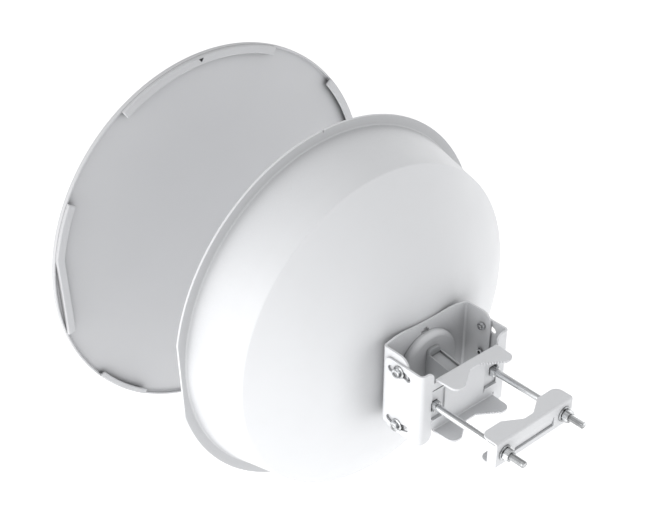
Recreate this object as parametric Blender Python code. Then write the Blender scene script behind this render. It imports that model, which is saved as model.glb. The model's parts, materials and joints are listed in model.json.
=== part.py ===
# Wireless dish antenna on a pole bracket, with its front cover lifted off.
#
# Metres, +Z up. The dish looks along -Y and the pole stands on the +Y side. The origin is
# the middle of the pole bracket's web, on the face that meets the pole. What tilts hangs on
# one empty at the elevation axis, and angles round the dish run from +X toward +Z.

import math

import bmesh
import bpy
from mathutils import Vector

# General
GAP = 0.0003
SHEET = 0.0025
ROUND_STEPS = 96
OVER = 0.01

# Pole bracket: a folded U with a pair of notched wings round the pole
BRACKET_HALF_WIDTH = 0.067
BRACKET_HALF_HEIGHT = 0.0455
BRACKET_DEPTH = 0.055
BRACKET_BEND = 0.006
BRACKET_UPPER_CORNER = 0.008
BRACKET_LOWER_CORNER = 0.013
TAB_START = 0.049
TAB_CORNER = 0.008
PAD_START = 0.032
PAD_END = 0.050
PAD_HALF_HEIGHT = 0.019
PAD_DEPTH = 0.0015
WING_HALF_WIDTH = 0.0465
WING_HEIGHT = 0.0355
WING_REACH = 0.028
WING_BEND = 0.004
WING_CORNER = 0.008
WING_TAPER = 0.0015
WING_NOTCH_HALF = 0.0305
WING_NOTCH_FLOOR_HALF = 0.006
WING_NOTCH_FLOOR = 0.011

# Elevation joint
HINGE_Y = -0.034
SLOT_RADIUS = 0.0355
SLOT_HALF_ANGLE = 21.0
SLOT_WIDTH = 0.008
ELEVATION_BOLT_RADIUS = 0.0025
ELEVATION_FLANGE_RADIUS = 0.0075
ELEVATION_FLANGE = 0.0015
ELEVATION_HEAD = 0.005
ELEVATION_FLATS = 0.010
ELEVATION_NUT = 0.0045
ELEVATION_NUT_FLATS = 0.008
ELEVATION_BOLT_SPARE = 0.0015

# Clamp: long bolts, and a jaw with its own pair of notched wings
CLAMP_BOLT_X = 0.046
CLAMP_BOLT_RADIUS = 0.004
CLAMP_BOLT_END = 0.1245
CLAMP_HEAD_RADIUS = 0.0085
CLAMP_HEAD = 0.0045
BOLT_NECK_HALF = 0.005
BOLT_NECK_PROUD = 0.0055
CLAMP_WASHER_RADIUS = 0.009
CLAMP_WASHER = 0.0017
CLAMP_NUT_FLATS = 0.013
CLAMP_NUT = 0.0065
JAW_Y = 0.098
JAW_HALF_WIDTH = 0.0585
JAW_HALF_HEIGHT = 0.016
JAW_REACH = 0.023
JAW_BEND = 0.003
JAW_CORNER = 0.008
JAW_NOTCH_HALF = 0.027
JAW_NOTCH_FLOOR_HALF = 0.007
JAW_NOTCH_DEPTH = 0.0125
JAW_LIP = 0.012
JAW_LIP_TOP = 0.009
LOUVRE_HALF_WIDTH = 0.0305
LOUVRE_TOP = 0.004
LOUVRE_BOTTOM = -0.0078
TONGUE_END = -0.0045
TONGUE_SINK = 0.0028
TONGUE = 0.002

# Dish: depths are measured back from its flange plane
DISH_RISE = 0.008
FLANGE_Y = -0.206
FLANGE_RADIUS = 0.230
FLANGE_THICKNESS = 0.003
FLAT_HALF_ANGLE = 12.7
LEFT_FLAT_MIDDLE = -1.8
RIGHT_FLAT_MIDDLE = 172.8
NOTCH_ANGLE = 84.7
NOTCH_DEPTH = 0.0035
NOTCH_HALF_WIDTH = 0.0025
WALL_RADIUS = 0.218
CREASE_RADIUS = 0.2005
CREASE_DEPTH = 0.075
CREASE_LEDGE = 0.0047
APEX_DEPTH = 0.1432
SHELL = 0.0025
SEAT_RADIUS = 0.045
THROAT_RADIUS = 0.020
BOWL_STEPS = 10

# Inner bracket, screwed behind the dish and hugged by the pole bracket
INNER_HALF_WIDTH = BRACKET_HALF_WIDTH - SHEET - GAP
INNER_TOP = 0.0538
INNER_CROWN = ((0.0585, 0.0), (0.047, 0.0028), (0.036, 0.0034), (0.014, 0.0025), (0.0, 0.0024))
INNER_BOTTOM = -0.045
INNER_END = -0.023
INNER_CORNER = 0.014
INNER_BEND = 0.005
HUB_HOLE_RADIUS = 0.030

# Hub, radio block and feed
HUB_RISE = 0.001
HUB_RADIUS = 0.042
HUB_DEPTH = 0.009
HUB_SHOULDER = 0.006
RADIO_HALF_WIDTH = 0.0093
RADIO_TOP = 0.0225
RADIO_TOP_END = 0.0168
RADIO_BOTTOM = -0.019
RADIO_BOTTOM_END = -0.0135
RADIO_END = -0.012
RADIO_RIM = 0.0025
RADIO_RECESS = 0.004
RADIO_LID = 0.0015
RADIO_COLLAR = 0.0045
RADIO_COLLAR_TOP = ((0.009, 0.0235), (0.006, 0.0264), (0.0, 0.0278))
TUBE_RADIUS = 0.0125
TUBE_START = 0.026
COLLAR_RADIUS = 0.028
COLLAR_DEPTH = 0.008
SUB_RADIUS = 0.030
SUB_START = 0.008
SUB_THICKNESS = 0.003

# Front cover, drawn off along -Y
COVER_SHIFT = 0.2272
COVER_RADIUS = 0.243
COVER_SKIN = 0.0025
COVER_WALL = 0.0025
COVER_DEPTH = 0.009
HOOK_INNER_RADIUS = 0.2315
HOOK_THICKNESS = 0.0025
TOP_HOOK = (57.4, 113.5)
LOWER_LEFT_HOOK = (-55.6, -35.3)
LOWER_RIGHT_HOOK = (206.3, 226.6)
LEFT_HOOK = (-14.1, 11.0, 28.2)
RIGHT_HOOK = (185.1, 160.0, 140.9)


def material(name, colour, roughness, metallic):
    """One Principled BSDF material."""
    made = bpy.data.materials.new(name)
    made.use_nodes = True
    shader = made.node_tree.nodes["Principled BSDF"]
    shader.inputs["Base Color"].default_value = (*colour, 1.0)
    shader.inputs["Roughness"].default_value = roughness
    shader.inputs["Metallic"].default_value = metallic
    made.diffuse_color = (*colour, 1.0)
    return made


PAINT = (0.86, 0.87, 0.87)
COVER_GREY = (0.62, 0.63, 0.64)
ZINC = (0.55, 0.56, 0.57)
DARK = (0.20, 0.21, 0.22)
PLASTIC = (0.42, 0.43, 0.45)


def finish(name, bm, colour, roughness=0.45, metallic=0.0, parent=None, smooth=True):
    """Turn a bmesh into a named object with a material of its own."""
    bmesh.ops.remove_doubles(bm, verts=bm.verts, dist=0.000002)
    bmesh.ops.recalc_face_normals(bm, faces=bm.faces)
    mesh = bpy.data.meshes.new(name)
    bm.to_mesh(mesh)
    bm.free()
    if smooth:
        mesh.shade_smooth()
        mesh.set_sharp_from_angle(angle=math.radians(35))
    mesh.materials.append(material(name + "_finish", colour, roughness, metallic))
    made = bpy.data.objects.new(name, mesh)
    bpy.context.scene.collection.objects.link(made)
    if parent:
        made.parent = parent
        made.location = [-value for value in parent["pivot"]]
    return made


def arc(centre, radius, start, end, steps):
    """Points on an arc, angles in degrees, both ends included."""
    points = []
    for step in range(steps + 1):
        angle = math.radians(start + (end - start) * step / steps)
        points.append((centre[0] + radius * math.cos(angle), centre[1] + radius * math.sin(angle)))
    return points


def polar(radius, angle):
    """A point (x, z) at an angle in degrees round the dish axis."""
    return arc((0.0, DISH_RISE), radius, angle, angle, 1)[0]


def prism(outline, low, high, place):
    """A flat outline pulled from low to high; place turns (a, b, depth) into a point."""
    bm = bmesh.new()
    face = bm.faces.new([bm.verts.new(place(a, b, low)) for a, b in outline])
    pulled = bmesh.ops.extrude_face_region(bm, geom=[face])
    moved = [item for item in pulled["geom"] if isinstance(item, bmesh.types.BMVert)]
    bmesh.ops.translate(bm, verts=moved, vec=Vector(place(0, 0, high)) - Vector(place(0, 0, low)))
    bmesh.ops.recalc_face_normals(bm, faces=bm.faces)
    return bm


def seen_from_above(a, b, depth):
    """Outline in X and Y, pulled along Z."""
    return (a, b, depth)


def seen_from_side(a, b, depth):
    """Outline in Y and Z, pulled along X."""
    return (depth, a, b)


def seen_from_front(a, b, depth):
    """Outline in X and Z, pulled along Y."""
    return (a, depth, b)


def turned(profile, steps=ROUND_STEPS, centre=(0.0, 0.0)):
    """A closed profile of (radius, y) spun round an axis along Y at centre (x, z)."""
    bm = bmesh.new()
    points = [bm.verts.new((centre[0] + radius, y, centre[1])) for radius, y in profile]
    edges = [bm.edges.new((points[i], points[(i + 1) % len(points)])) for i in range(len(points))]
    bmesh.ops.spin(bm, geom=points + edges, cent=(centre[0], 0.0, centre[1]), axis=(0, 1, 0),
                   angle=math.tau, steps=steps, use_merge=True)
    bmesh.ops.remove_doubles(bm, verts=bm.verts, dist=0.000002)
    bmesh.ops.dissolve_degenerate(bm, edges=bm.edges, dist=0.000002)
    bmesh.ops.recalc_face_normals(bm, faces=bm.faces)
    return bm


def rod(radius, start, end, steps, centre):
    """A plain round bar along Y."""
    return turned([(0.0, start), (radius, start), (radius, end), (0.0, end)], steps, centre)


def box(low, high):
    """A rectangular block between two corners."""
    outline = [(low[0], low[1]), (high[0], low[1]), (high[0], high[1]), (low[0], high[1])]
    return prism(outline, low[2], high[2], seen_from_above)


def cutter(name, bm, parent=None):
    """A hidden wire object that a Boolean takes away or adds."""
    tool = finish(name, bm, DARK, smooth=False, parent=parent)
    tool.hide_render = True
    tool.display_type = "WIRE"
    return tool


def combine(target, tool, operation):
    """Add one Boolean modifier that keeps the exact solver."""
    modifier = target.modifiers.new(tool.name, "BOOLEAN")
    modifier.operation = operation
    modifier.solver = "EXACT"
    modifier.object = tool


def folded_u(half_width, front, back, bend, low, high):
    """A sheet folded to a U: two cheeks from front to back, and a web whose face is at back."""
    inner_bend = bend - SHEET
    outline = [(half_width, front)]
    outline += arc((half_width - bend, back - bend), bend, 0, 90, 5)
    outline += arc((-half_width + bend, back - bend), bend, 90, 180, 5)
    outline += [(-half_width, front), (-half_width + SHEET, front)]
    outline += arc((-half_width + bend, back - bend), inner_bend, 180, 90, 5)
    outline += arc((half_width - bend, back - bend), inner_bend, 90, 0, 5)
    outline += [(half_width - SHEET, front)]
    return prism(outline, low, high, seen_from_above)


def rounded_corner(y_sign, z_sign, corner_y, corner_z, radius, half_width):
    """A cutter that rounds one corner of both cheeks, seen from the side."""
    centre = (corner_y - y_sign * radius, corner_z - z_sign * radius)
    start = {(1, 1): 0, (-1, 1): 90, (-1, -1): 180, (1, -1): 270}[(y_sign, z_sign)]
    outline = arc(centre, radius, start, start + 90, 6)
    along_z = (centre[0], corner_z + z_sign * OVER)
    along_y = (corner_y + y_sign * OVER, centre[1])
    corner = (corner_y + y_sign * OVER, corner_z + z_sign * OVER)
    outline += [along_z, corner, along_y] if y_sign * z_sign > 0 else [along_y, corner, along_z]
    return prism(outline, -half_width, half_width, seen_from_side)


def curved_slot(hinge_y, sign, half_width):
    """A cutter along an arc round the elevation axis, through both cheeks."""
    half = SLOT_WIDTH / 2
    low = 90 - SLOT_HALF_ANGLE
    high = 90 + SLOT_HALF_ANGLE
    centre = (hinge_y, 0.0)
    outline = arc(centre, SLOT_RADIUS + half, low, high, 10)
    end = arc(centre, SLOT_RADIUS, high, high, 1)[0]
    outline += arc(end, half, high, high + 180, 6)[1:-1]
    outline += arc(centre, SLOT_RADIUS - half, high, low, 10)
    end = arc(centre, SLOT_RADIUS, low, low, 1)[0]
    outline += arc(end, half, low + 180, low + 360, 6)[1:-1]
    if sign < 0:
        outline = [(y, -z) for y, z in outline]
    return prism(outline, -half_width, half_width, seen_from_side)


def notched_wing(half_width, start, reach, notch_half, floor_half, floor, corner, taper=0.0):
    """Outline of one wing seen from above: rounded ends and a V notch with a flat floor."""
    outline = [(half_width, start), (half_width, 0.0)]
    outline += arc((half_width - taper - corner, reach - corner), corner, 0, 80, 5)
    outline += [(notch_half, reach), (floor_half, floor)]
    mirrored = [(-x, y) for x, y in reversed(outline)]
    return outline + mirrored


def bent_strip(y_start, y_end, z_web, z_flat, bend, half_width, sign):
    """A strip that runs up a web and bends over at z_flat, seen from the side."""
    direction = 1 if y_end > y_start else -1
    inner = bend - SHEET
    corner_y = y_start + direction * inner
    outline = [(y_start, z_web), (y_start, z_flat - bend)]
    start, turn = (180, 90) if direction > 0 else (0, 90)
    outline += arc((corner_y, z_flat - bend), inner, start, turn, 5)[1:]
    outline += [(y_end, z_flat - SHEET), (y_end, z_flat)]
    outline += arc((corner_y, z_flat - bend), bend, turn, start, 5)
    outline += [(y_start - direction * SHEET, z_web)]
    return prism([(y, sign * z) for y, z in outline], -half_width, half_width, seen_from_side)


def relief(sign):
    """A cutter that takes the web away above or below a wing and rounds the tabs beside it."""
    low = WING_HEIGHT - WING_BEND - 0.001
    top = BRACKET_HALF_HEIGHT
    centre = (TAB_START + TAB_CORNER, top - TAB_CORNER)
    half = [(TAB_START, low)] + arc(centre, TAB_CORNER, 180, 90, 6) + [(centre[0], top + OVER)]
    outline = half + [(-x, z) for x, z in reversed(half)]
    return prism([(x, sign * z) for x, z in outline], -2 * BRACKET_BEND, OVER, seen_from_front)


def pole_bracket():
    """The folded outer bracket, with slots, wings and sunk pads round the clamp bolts."""
    body = finish("pole_bracket",
                  folded_u(BRACKET_HALF_WIDTH, -BRACKET_DEPTH, 0.0, BRACKET_BEND,
                           -BRACKET_HALF_HEIGHT, BRACKET_HALF_HEIGHT), PAINT)
    wide = BRACKET_HALF_WIDTH + OVER
    for sign, name, radius in ((1, "upper", BRACKET_UPPER_CORNER), (-1, "lower", BRACKET_LOWER_CORNER)):
        corner = rounded_corner(-1, sign, -BRACKET_DEPTH, sign * BRACKET_HALF_HEIGHT, radius, wide)
        combine(body, cutter(name + "_corner", corner), "DIFFERENCE")
        combine(body, cutter(name + "_slot", curved_slot(HINGE_Y, sign, wide)), "DIFFERENCE")
        combine(body, cutter(name + "_relief", relief(sign)), "DIFFERENCE")
        strip = bent_strip(0.0, WING_REACH + OVER, WING_HEIGHT - WING_BEND - 0.002, WING_HEIGHT, WING_BEND,
                           WING_HALF_WIDTH, sign)
        wing = cutter(name + "_wing_strip", strip)
        plan = notched_wing(WING_HALF_WIDTH + GAP, -2 * OVER, WING_REACH, WING_NOTCH_HALF,
                            WING_NOTCH_FLOOR_HALF, WING_NOTCH_FLOOR, WING_CORNER, WING_TAPER)
        high = WING_HEIGHT + OVER
        combine(wing, cutter(name + "_wing_plan", prism(plan, -high, high, seen_from_above)), "INTERSECT")
        combine(body, wing, "UNION")
    for sign, name in ((1, "left"), (-1, "right")):
        low, high = sorted((sign * PAD_START, sign * PAD_END))
        wall = PAD_DEPTH
        swell = box((low - wall, -SHEET - PAD_DEPTH, -PAD_HALF_HEIGHT - wall),
                    (high + wall, -SHEET / 2, PAD_HALF_HEIGHT + wall))
        combine(body, cutter(name + "_pad_back", swell), "UNION")
        sunk = box((low, -PAD_DEPTH, -PAD_HALF_HEIGHT), (high, OVER, PAD_HALF_HEIGHT))
        combine(body, cutter(name + "_pad", sunk), "DIFFERENCE")
        half = BOLT_NECK_HALF + GAP
        hole = box((sign * CLAMP_BOLT_X - half, -OVER, -half), (sign * CLAMP_BOLT_X + half, OVER, half))
        combine(body, cutter(name + "_square_hole", hole), "DIFFERENCE")
    return body


def clamp_bolt(name, x):
    """A long carriage bolt: domed head inside the web, square neck, round shank."""
    head_y = -PAD_DEPTH - SHEET - GAP
    head = [(0.0, head_y), (CLAMP_HEAD_RADIUS, head_y), (CLAMP_HEAD_RADIUS, head_y - 0.001),
            (0.7 * CLAMP_HEAD_RADIUS, head_y - 0.8 * CLAMP_HEAD), (0.0, head_y - CLAMP_HEAD)]
    body = finish(name, turned(head, 24, (x, 0.0)), ZINC, 0.35, 0.9)
    neck = box((x - BOLT_NECK_HALF, head_y - 0.001, -BOLT_NECK_HALF),
               (x + BOLT_NECK_HALF, BOLT_NECK_PROUD - PAD_DEPTH, BOLT_NECK_HALF))
    combine(body, cutter(name + "_neck", neck), "UNION")
    tip = CLAMP_BOLT_END
    shank = [(0.0, head_y - 0.001), (CLAMP_BOLT_RADIUS, head_y - 0.001),
             (CLAMP_BOLT_RADIUS, tip - 0.001), (CLAMP_BOLT_RADIUS - 0.001, tip), (0.0, tip)]
    combine(body, cutter(name + "_shank", turned(shank, 24, (x, 0.0))), "UNION")
    return body


def jaw(parent):
    """The loose clamp jaw: a shallow channel with notched wings and a pushed-in louvre."""
    face = JAW_Y
    body = finish("clamp_jaw",
                  box((-JAW_HALF_WIDTH, face - SHEET, -JAW_HALF_HEIGHT + JAW_BEND),
                      (JAW_HALF_WIDTH, face, JAW_HALF_HEIGHT - JAW_BEND)), PAINT, parent=parent)
    for sign, name in ((1, "jaw_upper"), (-1, "jaw_lower")):
        strip = bent_strip(face - SHEET, face - JAW_REACH - OVER, JAW_HALF_HEIGHT - 2 * JAW_BEND,
                           JAW_HALF_HEIGHT, JAW_BEND, JAW_HALF_WIDTH, sign)
        wing = cutter(name + "_strip", strip, parent)
        plan = notched_wing(JAW_HALF_WIDTH + GAP, -2 * OVER, JAW_REACH, JAW_NOTCH_HALF,
                            JAW_NOTCH_FLOOR_HALF, JAW_REACH - JAW_NOTCH_DEPTH, JAW_CORNER)
        plan = prism([(x, face - y) for x, y in plan], -2 * JAW_HALF_HEIGHT, 2 * JAW_HALF_HEIGHT,
                     seen_from_above)
        combine(wing, cutter(name + "_plan", plan, parent), "INTERSECT")
        combine(body, wing, "UNION")
    for sign, name in ((1, "left"), (-1, "right")):
        lip_low = min(sign * (JAW_HALF_WIDTH - SHEET), sign * JAW_HALF_WIDTH)
        lip = box((lip_low, face - JAW_LIP, -JAW_HALF_HEIGHT + 0.001),
                  (lip_low + SHEET, face - 0.001, JAW_LIP_TOP))
        combine(body, cutter("jaw_lip_" + name, lip, parent), "UNION")
        hole = rod(CLAMP_BOLT_RADIUS + GAP, face - OVER, face + OVER, 24, (sign * CLAMP_BOLT_X, 0.0))
        combine(body, cutter("jaw_hole_" + name, hole, parent), "DIFFERENCE")
    window = box((-LOUVRE_HALF_WIDTH, face - OVER, LOUVRE_BOTTOM), (LOUVRE_HALF_WIDTH, face + OVER, LOUVRE_TOP))
    combine(body, cutter("jaw_window", window, parent), "DIFFERENCE")
    sunk = face - TONGUE_SINK
    rooted = LOUVRE_TOP + 0.001
    outline = [(face - GAP, rooted), (sunk, TONGUE_END), (sunk - TONGUE, TONGUE_END),
               (face - SHEET + GAP, rooted + 0.001)]
    half = LOUVRE_HALF_WIDTH - GAP
    combine(body, cutter("jaw_tongue", prism(outline, -half, half, seen_from_side), parent), "UNION")
    return body


def hexagon(across_flats):
    """Six corners of a hexagon."""
    return [(across_flats / math.sqrt(3) * math.cos(math.radians(60 * i)),
             across_flats / math.sqrt(3) * math.sin(math.radians(60 * i))) for i in range(6)]


def clamp_fasteners(parent):
    """A washer and a nut behind the jaw on each long bolt."""
    bore = CLAMP_BOLT_RADIUS + GAP
    for sign, name in ((1, "left"), (-1, "right")):
        x = sign * CLAMP_BOLT_X
        low = JAW_Y + GAP
        high = low + CLAMP_WASHER
        washer = [(bore, low), (CLAMP_WASHER_RADIUS, low), (CLAMP_WASHER_RADIUS, high), (bore, high)]
        finish("clamp_washer_" + name, turned(washer, 24, (x, 0.0)), ZINC, 0.35, 0.9, parent)
        low = high + GAP
        outline = [(x + a, b) for a, b in hexagon(CLAMP_NUT_FLATS)]
        nut = finish("clamp_nut_" + name, prism(outline, low, low + CLAMP_NUT, seen_from_front),
                     ZINC, 0.35, 0.9, parent)
        hole = rod(bore, low - OVER, low + CLAMP_NUT + OVER, 24, (x, 0.0))
        combine(nut, cutter("clamp_nut_bore_" + name, hole, parent), "DIFFERENCE")


def shroud(parent):
    """The flange ring with its two flats and its notch, and the wall behind it."""
    profile = [(FLANGE_RADIUS, -FLANGE_THICKNESS), (FLANGE_RADIUS, 0.0), (WALL_RADIUS, 0.0),
               (CREASE_RADIUS, CREASE_DEPTH), (CREASE_RADIUS - SHELL, CREASE_DEPTH),
               (WALL_RADIUS - SHELL, -FLANGE_THICKNESS)]
    profile = [(radius, FLANGE_Y + depth) for radius, depth in profile]
    body = finish("shroud", turned(profile, ROUND_STEPS, (0.0, DISH_RISE)), PAINT, 0.4, 0.0, parent)
    low = FLANGE_Y - FLANGE_THICKNESS - OVER
    high = FLANGE_Y + OVER
    outside = FLANGE_RADIUS + 2 * OVER
    for name, middle in (("left", LEFT_FLAT_MIDDLE), ("right", RIGHT_FLAT_MIDDLE)):
        ends = (middle - FLAT_HALF_ANGLE, middle + FLAT_HALF_ANGLE)
        outline = [polar(FLANGE_RADIUS, ends[0]), polar(outside, ends[0]), polar(outside, ends[1]),
                   polar(FLANGE_RADIUS, ends[1])]
        flat = prism(outline, low, high, seen_from_front)
        combine(body, cutter("flange_flat_" + name, flat, parent), "DIFFERENCE")
    half = math.degrees(NOTCH_HALF_WIDTH / FLANGE_RADIUS)
    outline = [polar(FLANGE_RADIUS - NOTCH_DEPTH, NOTCH_ANGLE), polar(outside, NOTCH_ANGLE - 4 * half),
               polar(outside, NOTCH_ANGLE + 4 * half)]
    combine(body, cutter("flange_notch", prism(outline, low, high, seen_from_front), parent), "DIFFERENCE")
    return body


def reflector_bowl(parent):
    """The parabolic bowl, from the crease behind the wall to its flat seat."""
    slope = (APEX_DEPTH - CREASE_DEPTH) / (CREASE_RADIUS ** 2 - SEAT_RADIUS ** 2)
    rim = CREASE_DEPTH + GAP
    outer, inner = [(CREASE_RADIUS, rim)], []
    for step in range(1, BOWL_STEPS + 1):
        radius = CREASE_RADIUS + (SEAT_RADIUS - CREASE_RADIUS) * step / BOWL_STEPS
        depth = CREASE_DEPTH + slope * (CREASE_RADIUS ** 2 - radius ** 2)
        lean = math.atan(2 * slope * radius)
        outer.append((radius, depth))
        inner.insert(0, (radius - SHELL * math.sin(lean), depth - SHELL * math.cos(lean)))
    outer.append((THROAT_RADIUS, APEX_DEPTH))
    inner = [(THROAT_RADIUS, APEX_DEPTH - SHELL)] + inner + [(CREASE_RADIUS - CREASE_LEDGE, rim)]
    profile = [(radius, FLANGE_Y + depth) for radius, depth in outer + inner]
    return finish("reflector_bowl", turned(profile, ROUND_STEPS, (0.0, DISH_RISE)), PAINT, 0.4, 0.0, parent)


def dish_bracket(parent):
    """The inner U: a web behind the bowl, and cheeks inside the pole bracket."""
    web_front = FLANGE_Y + APEX_DEPTH + GAP
    high = INNER_TOP + OVER
    bm = folded_u(INNER_HALF_WIDTH, -INNER_END, -web_front, INNER_BEND, INNER_BOTTOM, high)
    bmesh.ops.scale(bm, vec=(1, -1, 1), verts=bm.verts)
    body = finish("dish_bracket", bm, PAINT, parent=parent)
    wide = INNER_HALF_WIDTH + OVER
    crown = [(wide, 0.0)] + list(INNER_CROWN) + [(-x, rise) for x, rise in reversed(INNER_CROWN[:-1])]
    crown = [(x, INNER_TOP + rise) for x, rise in crown + [(-wide, 0.0)]]
    crown += [(-wide, high + OVER), (wide, high + OVER)]
    trim = prism(crown, web_front - OVER, INNER_END + OVER, seen_from_front)
    combine(body, cutter("inner_crown", trim, parent), "DIFFERENCE")
    for sign, top, name in ((1, INNER_TOP, "inner_upper"), (-1, INNER_BOTTOM, "inner_lower")):
        corner = rounded_corner(1, sign, INNER_END, top, INNER_CORNER, wide)
        combine(body, cutter(name + "_corner", corner, parent), "DIFFERENCE")
        outline = arc((HINGE_Y, sign * SLOT_RADIUS), ELEVATION_BOLT_RADIUS + GAP, 0, 337.5, 15)
        hole = prism(outline, -wide, wide, seen_from_side)
        combine(body, cutter(name + "_hole", hole, parent), "DIFFERENCE")
    centre = rod(HUB_HOLE_RADIUS, web_front - OVER, web_front + OVER, 48, (0.0, HUB_RISE))
    combine(body, cutter("hub_opening", centre, parent), "DIFFERENCE")
    return body


def hub(parent):
    """The domed drum that passes through the inner bracket and grips the bowl."""
    front = FLANGE_Y + APEX_DEPTH + GAP
    web_back = front + SHEET + GAP
    spigot = HUB_HOLE_RADIUS - GAP
    profile = [(0.0, front), (spigot, front), (spigot, web_back), (HUB_RADIUS, web_back)]
    profile += arc((HUB_RADIUS - HUB_SHOULDER, web_back + HUB_DEPTH - HUB_SHOULDER), HUB_SHOULDER, 0, 90, 5)
    profile += [(0.0, web_back + HUB_DEPTH)]
    return finish("hub_dome", turned(profile, 48, (0.0, HUB_RISE)), PAINT, parent=parent)


def radio(parent):
    """The tapering radio block: an arched collar at the hub, and a lid sunk in its top."""
    start = FLANGE_Y + APEX_DEPTH + SHEET + HUB_DEPTH + 3 * GAP
    outline = [(start, RADIO_BOTTOM), (RADIO_END, RADIO_BOTTOM_END), (RADIO_END, RADIO_TOP_END),
               (start, RADIO_TOP)]
    body = finish("radio_block", prism(outline, -RADIO_HALF_WIDTH, RADIO_HALF_WIDTH, seen_from_side),
                  PLASTIC, 0.5, 0.0, parent)
    arch = [(RADIO_COLLAR_TOP[0][0], RADIO_TOP - RADIO_RECESS)] + list(RADIO_COLLAR_TOP)
    arch += [(-x, z) for x, z in reversed(arch[:-1])]
    collar = prism(arch, start, start + RADIO_COLLAR, seen_from_front)

    def slab(margin, low, high):
        """A slab that follows the sloping top, low and high measured from it."""
        ends = []
        for y in (start + RADIO_COLLAR + margin, RADIO_END - RADIO_RIM - margin):
            top = RADIO_TOP + (RADIO_TOP_END - RADIO_TOP) * (y - start) / (RADIO_END - start)
            ends.append((y, top))
        outline = [(y, top + low) for y, top in ends] + [(y, top + high) for y, top in reversed(ends)]
        half = RADIO_HALF_WIDTH - RADIO_RIM - margin
        return prism(outline, -half, half, seen_from_side)

    combine(body, cutter("radio_recess", slab(0.0, -RADIO_RECESS, OVER), parent), "DIFFERENCE")
    combine(body, cutter("radio_collar", collar, parent), "UNION")
    finish("radio_lid", slab(GAP, GAP - RADIO_RECESS, RADIO_LID - RADIO_RECESS), DARK, 0.5, 0.0, parent)
    return body


def feed(parent):
    """Feed tube on the axis, with its cone and splash plate."""
    centre = (0.0, DISH_RISE)
    root = FLANGE_Y + APEX_DEPTH
    seat = root - SHELL - GAP
    body = finish("feed_tube", rod(TUBE_RADIUS, FLANGE_Y + TUBE_START, root, 32, centre),
                  ZINC, 0.4, 0.8, parent)
    collar = rod(COLLAR_RADIUS, seat - COLLAR_DEPTH, seat, 32, centre)
    combine(body, cutter("feed_collar", collar, parent), "UNION")
    plate_start = FLANGE_Y + SUB_START
    cone_start = plate_start + SUB_THICKNESS + GAP
    cone_end = FLANGE_Y + TUBE_START - GAP
    cone = [(0.0, cone_start), (SUB_RADIUS - 0.002, cone_start), (TUBE_RADIUS, cone_end), (0.0, cone_end)]
    finish("feed_cone", turned(cone, 32, centre), PAINT, 0.5, 0.0, parent)
    finish("sub_reflector", rod(SUB_RADIUS, plate_start, plate_start + SUB_THICKNESS, 32, centre),
           ZINC, 0.35, 0.9, parent)


def elevation_fasteners(parent):
    """Flanged hexagon bolts through both cheeks, with nuts on the inside."""
    face = BRACKET_HALF_WIDTH + GAP
    nut_face = INNER_HALF_WIDTH - SHEET - GAP
    for side, side_name in ((1, "left"), (-1, "right")):
        for level, level_name in ((1, "upper"), (-1, "lower")):
            place = side_name + "_" + level_name
            centre = (HINGE_Y, level * SLOT_RADIUS)
            ring = arc(centre, ELEVATION_FLANGE_RADIUS, 0, 345, 23)
            body = finish("elevation_bolt_" + place,
                          prism(ring, side * face, side * (face + ELEVATION_FLANGE), seen_from_side),
                          ZINC, 0.35, 0.9, parent)
            head = [(centre[0] + a, centre[1] + b) for a, b in hexagon(ELEVATION_FLATS)]
            tool = prism(head, side * (face + 0.001), side * (face + ELEVATION_HEAD), seen_from_side)
            combine(body, cutter("elevation_head_" + place, tool, parent), "UNION")
            shank = arc(centre, ELEVATION_BOLT_RADIUS, 0, 337.5, 15)
            end = nut_face - ELEVATION_NUT - ELEVATION_BOLT_SPARE
            tool = prism(shank, side * end, side * (face + 0.001), seen_from_side)
            combine(body, cutter("elevation_shank_" + place, tool, parent), "UNION")
            outline = [(centre[0] + a, centre[1] + b) for a, b in hexagon(ELEVATION_NUT_FLATS)]
            nut = finish("elevation_nut_" + place,
                         prism(outline, side * (nut_face - ELEVATION_NUT), side * nut_face, seen_from_side),
                         ZINC, 0.35, 0.9, parent)
            bore = arc(centre, ELEVATION_BOLT_RADIUS + GAP, 0, 337.5, 15)
            tool = prism(bore, side * (end - OVER), side * (nut_face + OVER), seen_from_side)
            combine(nut, cutter("elevation_bore_" + place, tool, parent), "DIFFERENCE")


def cover(parent):
    """The front cover: a round face, and a rim with hooks; two hooks run straight along the flats."""
    centre = (0.0, DISH_RISE)
    inside = FLANGE_Y - FLANGE_THICKNESS - GAP
    front = inside - COVER_SKIN
    back = inside + COVER_DEPTH
    bore = COVER_RADIUS - COVER_WALL
    finish("cover_face", rod(bore - GAP, front, inside, ROUND_STEPS, centre), COVER_GREY, 0.5, 0.0, parent)
    profile = [(bore, front), (COVER_RADIUS, front), (COVER_RADIUS, back), (bore, back)]
    body = finish("cover_rim", turned(profile, ROUND_STEPS, centre), COVER_GREY, 0.5, 0.0, parent)
    grip = COVER_RADIUS - COVER_WALL / 2
    hooks = {"top": TOP_HOOK, "left": LEFT_HOOK, "right": RIGHT_HOOK, "lower_left": LOWER_LEFT_HOOK,
             "lower_right": LOWER_RIGHT_HOOK}
    for name, angles in hooks.items():
        start, end = angles[-2:]
        points = arc(centre, grip, start, end, 12) + arc(centre, HOOK_INNER_RADIUS, end, start, 12)
        if len(angles) == 3:
            points = [polar(grip, angles[0])] + points + [polar(HOOK_INNER_RADIUS, angles[0])]
            ends = [(grip - GAP, angles[0]), (grip - GAP, start), (grip - GAP - COVER_WALL, start),
                    (grip - GAP - COVER_WALL, angles[0])]
            wall = prism([polar(*end) for end in ends], inside + GAP, back - HOOK_THICKNESS / 2,
                         seen_from_front)
            combine(body, cutter("hook_wall_" + name, wall, parent), "UNION")
        lip = prism(points, back - HOOK_THICKNESS, back, seen_from_front)
        combine(body, cutter("cover_hook_" + name, lip, parent), "UNION")


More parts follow.
